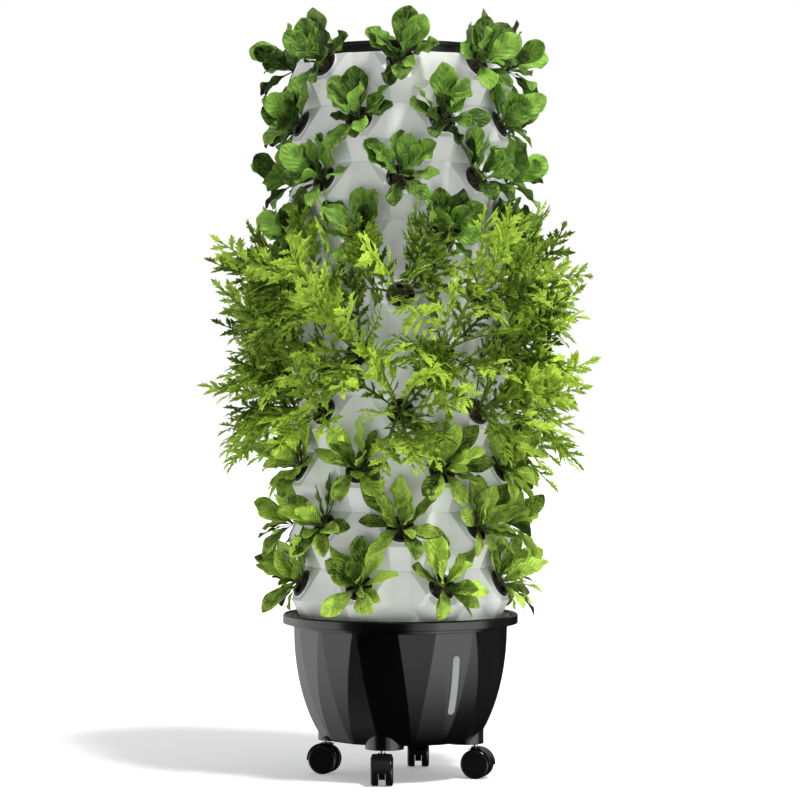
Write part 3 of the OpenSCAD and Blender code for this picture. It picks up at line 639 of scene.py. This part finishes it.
def star(first_turn, start_lean, end_lean, end_swing, small, extra, hanging, rng):
    """One plant's leaves as (turn from upright, lean from the plant's axis, size, roll, kind, tone): a
    star of seven, of which two stand upright, that lifts above and hangs below, and extra smaller ones
    between, of which the hanging share hangs too."""
    plan = []
    for j in range(STAR):
        turn = math.radians(first_turn + 360 / STAR * j + rng.uniform(-16, 16))
        upright = j in UPRIGHT
        lean = UPRIGHT_LEAN if upright else start_lean
        size = UPRIGHT_SIZE if upright else small * (0.9 + 0.1 * math.cos(turn))
        bend = UPRIGHT_BEND if upright else end_lean - start_lean - end_swing * math.cos(turn)
        plan.append((turn, lean + rng.uniform(-11, 8), size * rng.uniform(0.84, 1.0), bend))
    for j in range(extra):
        turn = math.radians(first_turn + BETWEEN_TURN * j + BETWEEN_FROM + rng.uniform(-20, 20))
        outer = j % 2 == 0
        lean = start_lean * rng.uniform(0.75, 1.1) if outer else rng.uniform(10, 46)
        size = rng.uniform(0.62, 0.88) if outer else rng.uniform(0.45, 0.74)
        if rng.uniform() < hanging:
            turn = math.pi + rng.uniform(-2.1, 2.1)
            lean = start_lean * rng.uniform(1.05, 1.6)
            size = rng.uniform(0.6, 0.85)
        plan.append((turn, lean, size, end_lean - start_lean - end_swing * math.cos(turn)))
    rows = []
    for turn, lean, size, bend in plan:
        place = (bend - (end_lean - start_lean - end_swing)) / (2 * end_swing) * (BENDS - 1)
        group = min(max(round(place + rng.uniform(-0.4, 0.4)), 0), BENDS - 1)
        rows.append((turn, math.radians(lean), size, rng.uniform(-0.6, 0.6),
                     group * VARIANTS + int(rng.integers(VARIANTS)), rng.uniform(0.0, 1.0)))
    return rows


def bend_of(kind, start_lean, end_lean, end_swing):
    """The bend that a kind of leaf has along its length, from lifted to hanging."""
    share = (kind // VARIANTS) / (BENDS - 1)
    return math.radians(end_lean - start_lean + end_swing * (2 * share - 1))


def rosette(layer, pocket, plan):
    """A plan's leaves as rows for grow, stood round the crown in the pocket's mouth and lifted a little
    towards the light."""
    here = mouth(layer, pocket)
    lifted = here @ Matrix.Rotation(-LIFT, 4, "Y")
    axis, across, above = (lifted.to_3x3() @ Vector(v) for v in ((1, 0, 0), (0, 1, 0), (0, 0, 1)))
    rows = []
    for turn, lean, size, roll, kind, tone in plan:
        radial = above * math.cos(turn) + across * math.sin(turn)
        way = axis * math.cos(lean) + radial * math.sin(lean)
        up = (axis - way * axis.dot(way)).normalized()
        side = up.cross(way)
        up, side = up * math.cos(roll) + side * math.sin(roll), side * math.cos(roll) - up * math.sin(roll)
        facing = Matrix((way, side, up)).transposed()
        root = here @ Vector((CROWN_OUT, 0, 0)) + radial * CROWN_RADIUS
        rows.append((root, facing.to_euler(), size, kind, tone))
    return rows


LOWER_LENGTH = 0.124
lower_green = leaf_finish("bright green leaf", (0.008, 0.028, 0.001, 1), (0.5, 0.75, 0.1, 1),
                          (0.55, 0.68, 0.22, 1), 8, 0.25)
rng = np.random.default_rng(11)
LOWER_LEANS = (64, 74, 34)
lower_kinds = []
for k in range(BENDS * VARIANTS):
    lower_kinds.append(blade(f"lower_leaf_{k:02}", LOWER_LENGTH, width=rng.uniform(0.043, 0.057),
                             profile=oval(0.1, 0.62, 0.75), bend=bend_of(k, *LOWER_LEANS),
                             lean=rng.uniform(-0.3, 0.3), fold=rng.uniform(0.15, 0.5),
                             ripple=rng.uniform(0.08, 0.2), waves=rng.uniform(2, 3.6),
                             twist=rng.uniform(-0.5, 0.5), rng=rng))
lower_shelf = shelf("lower leaves", lower_kinds)
for layer in BANDS["lower"]:
    stands = []
    for pocket in range(POCKETS):
        plan = star(0, *LOWER_LEANS, small=1.0, extra=9, hanging=0, rng=rng)
        stands += rosette(layer, pocket, plan)
    name = f"plants_{layer + 1:02}"
    plants = grow(name + "_leaves", stands, lower_shelf, lower_green, 0.04, layer)
    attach(plants, "tower")
    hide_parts(name)

# Upper crop, layers 7 to 10. Darker, round-ended leaves on slim stalks, with a pale midrib and side
# veins, cupped and wavy at the margin. Thirteen grow from each plug.
UPPER_LENGTH = 0.118
upper_green = leaf_finish("dark green leaf", (0.002, 0.008, 0.001, 1), (0.26, 0.49, 0.07, 1),
                          (0.36, 0.5, 0.2, 1), 6, 0.24)
rng = np.random.default_rng(23)
UPPER_LEANS = (62, 70, 32)
upper_kinds = []
for k in range(BENDS * VARIANTS):
    upper_kinds.append(blade(f"upper_leaf_{k:02}", UPPER_LENGTH, width=rng.uniform(0.05, 0.068),
                             profile=oval(0.2, 0.62, 0.62), bend=bend_of(k, *UPPER_LEANS),
                             lean=rng.uniform(-0.3, 0.3), fold=rng.uniform(0.1, 0.5),
                             ripple=rng.uniform(0.14, 0.32), waves=rng.uniform(1.8, 3.4),
                             twist=rng.uniform(-0.7, 0.7), rng=rng))
upper_shelf = shelf("upper leaves", upper_kinds)
for layer in BANDS["upper"]:
    stands = []
    for pocket in range(POCKETS):
        plan = star(0, *UPPER_LEANS, small=0.96, extra=6, hanging=0, rng=rng)
        stands += rosette(layer, pocket, plan)
    name = f"plants_{layer + 1:02}"
    plants = grow(name + "_leaves", stands, upper_shelf, upper_green, 0.03, layer)
    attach(plants, "tower")
    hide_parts(name)


# Middle crop, layers 4 to 6. Yellow-green fronds, cut to the midrib into narrow toothed lobes, that
# arch far out of their pockets. Fourteen grow from each plug, and the longest hang over the crop below.
FROND = 0.235
FROND_REACH = 0.397
HANGERS = {3: 3, 4: 1, 5: 0}
RIB_THICKNESS, LOBE_THICKNESS = 0.0012, 0.0006
LOBE_PAIRS = 7
FIRST_LOBE, LOBED_SHARE = 0.18, 0.76
LOBE_STATIONS = np.array([0, 0.2, 0.34, 0.42, 0.54, 0.68, 0.76, 1.0])
LOBE_TEETH = {-1: [0.08, 0.07, 0.1, 0.23, 0.09, 0.17, 0.07, 0.004],
              0: [0] * len(LOBE_STATIONS),
              1: [0.08, 0.08, 0.22, 0.09, 0.19, 0.08, 0.1, 0.004]}


def frond(name, length, bend, lean, lobe, rng):
    """A frond: its winged midrib, toothed lobes on either hand of it, and one lobe at its tip."""
    stations = 18
    s, points, way, side, up = midrib(length, bend, lean, stations)
    wing = 0.0014 + 0.0034 * np.sin(math.pi * s ** 0.8) ** 2
    half = wing[:, None, None] * np.array([-1, 0, 1])[None, :, None]
    rib = points[:, None, :] + side[:, None, :] * half + up[:, None, :] * np.abs(half) * 0.6
    strips = [strip(rib, RIB_THICKNESS, (0, 1), (0.42, 0.58))]
    lobes = LOBE_PAIRS * 2
    for k in range(lobes + 1):
        last = k == lobes
        hand = 0 if last else (1 if k % 2 else -1)
        at = 0.96 if last else FIRST_LOBE + LOBED_SHARE * (k + rng.uniform(-0.45, 0.45)) / lobes
        share = 0.6 if last else max(math.sin(math.pi * (at * 0.94) ** 1.2), 0.34) * rng.uniform(0.66, 1.2)
        size = lobe * share
        base = np.array([np.interp(at, s, points[:, axis]) for axis in range(3)])
        near = int(round(at * (stations - 1)))
        swing = math.radians(rng.uniform(42, 66) - 18 * at) * hand
        run = way[near] * math.cos(swing) + side[near] * math.sin(swing)
        rise = math.radians(rng.uniform(-14, 28))
        run = run * math.cos(rise) + up[near] * math.sin(rise)
        run /= np.linalg.norm(run)
        flat = np.cross(up[near], run)
        flat /= np.linalg.norm(flat)
        top = np.cross(run, flat)
        curl = rng.uniform(0.1, 0.9)
        q = LOBE_STATIONS
        line = base + (run * q[:, None] - top * (curl * 0.25 * q ** 2)[:, None]) * size
        fat = rng.uniform(0.85, 1.15)
        columns = []
        for edge, teeth in LOBE_TEETH.items():
            wide = np.array(teeth)[:, None] * fat * size
            ahead = np.where(wide > 0.13 * size, 0.6 * wide, 0)
            columns.append(line + flat * edge * wide + run * ahead + top * wide * 0.35)
        grid = np.stack(columns, axis=1)
        strips.append(strip(grid, LOBE_THICKNESS, (0.3, 1), (0, 1)))
    return leaf_mesh(name, strips)


middle_green = leaf_finish("yellow-green frond", (0.012, 0.045, 0.001, 1), (0.62, 0.92, 0.09, 1),
                           (0.52, 0.66, 0.16, 1), 3, 0.3)
rng = np.random.default_rng(37)
MIDDLE_LEANS = (44, 46, 24)


def hanging_fronds(count, rng):
    """Rows of a plan for long fronds that have outgrown their pocket and hang over the crop below."""
    rows = []
    for _ in range(count):
        turn = math.pi + rng.uniform(-1.0, 1.0)
        lean = math.radians(rng.uniform(46, 74))
        size = rng.uniform(0.95, 1.12)
        roll = rng.uniform(-0.4, 0.4)
        kind = (BENDS - 1) * VARIANTS + int(rng.integers(VARIANTS))
        rows.append((turn, lean, size, roll, kind, rng.uniform(0.3, 1.0)))
    return rows


def within_reach(root, way, size):
    """A frond's size, cut back where its tip would pass the reach of the crop."""
    reach = math.hypot(root.x + way.x * FROND * size, root.y + way.y * FROND * size)
    if reach <= FROND_REACH:
        return size
    start = math.hypot(root.x, root.y)
    return size * (FROND_REACH - start) / (reach - start)


middle_kinds = []
for k in range(BENDS * VARIANTS):
    middle_kinds.append(frond(f"middle_frond_{k:02}", FROND, bend_of(k, *MIDDLE_LEANS),
                              lean=rng.uniform(-0.6, 0.6), lobe=rng.uniform(0.06, 0.076), rng=rng))
middle_shelf = shelf("middle fronds", middle_kinds)
for layer in BANDS["middle"]:
    stands = []
    for pocket in range(POCKETS):
        hangers = HANGERS[layer]
        plan = star(22, *MIDDLE_LEANS, small=0.88, extra=7 - hangers, hanging=0.85, rng=rng)
        plan += hanging_fronds(hangers, rng)
        for root, turn, size, kind, tone in rosette(layer, pocket, plan):
            way = Euler(turn).to_matrix() @ Vector((1, 0, 0))
            stands.append((root, turn, within_reach(root, way, size), kind, tone))
    name = f"plants_{layer + 1:02}"
    plants = grow(name + "_fronds", stands, middle_shelf, middle_green, 0.02, layer)
    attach(plants, "tower")
    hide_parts(name)

# The single leaves, fronds and plug were patterns for the crops and leave the file.
for pattern in lower_kinds + upper_kinds + middle_kinds + [plug]:
    bpy.data.objects.remove(pattern)
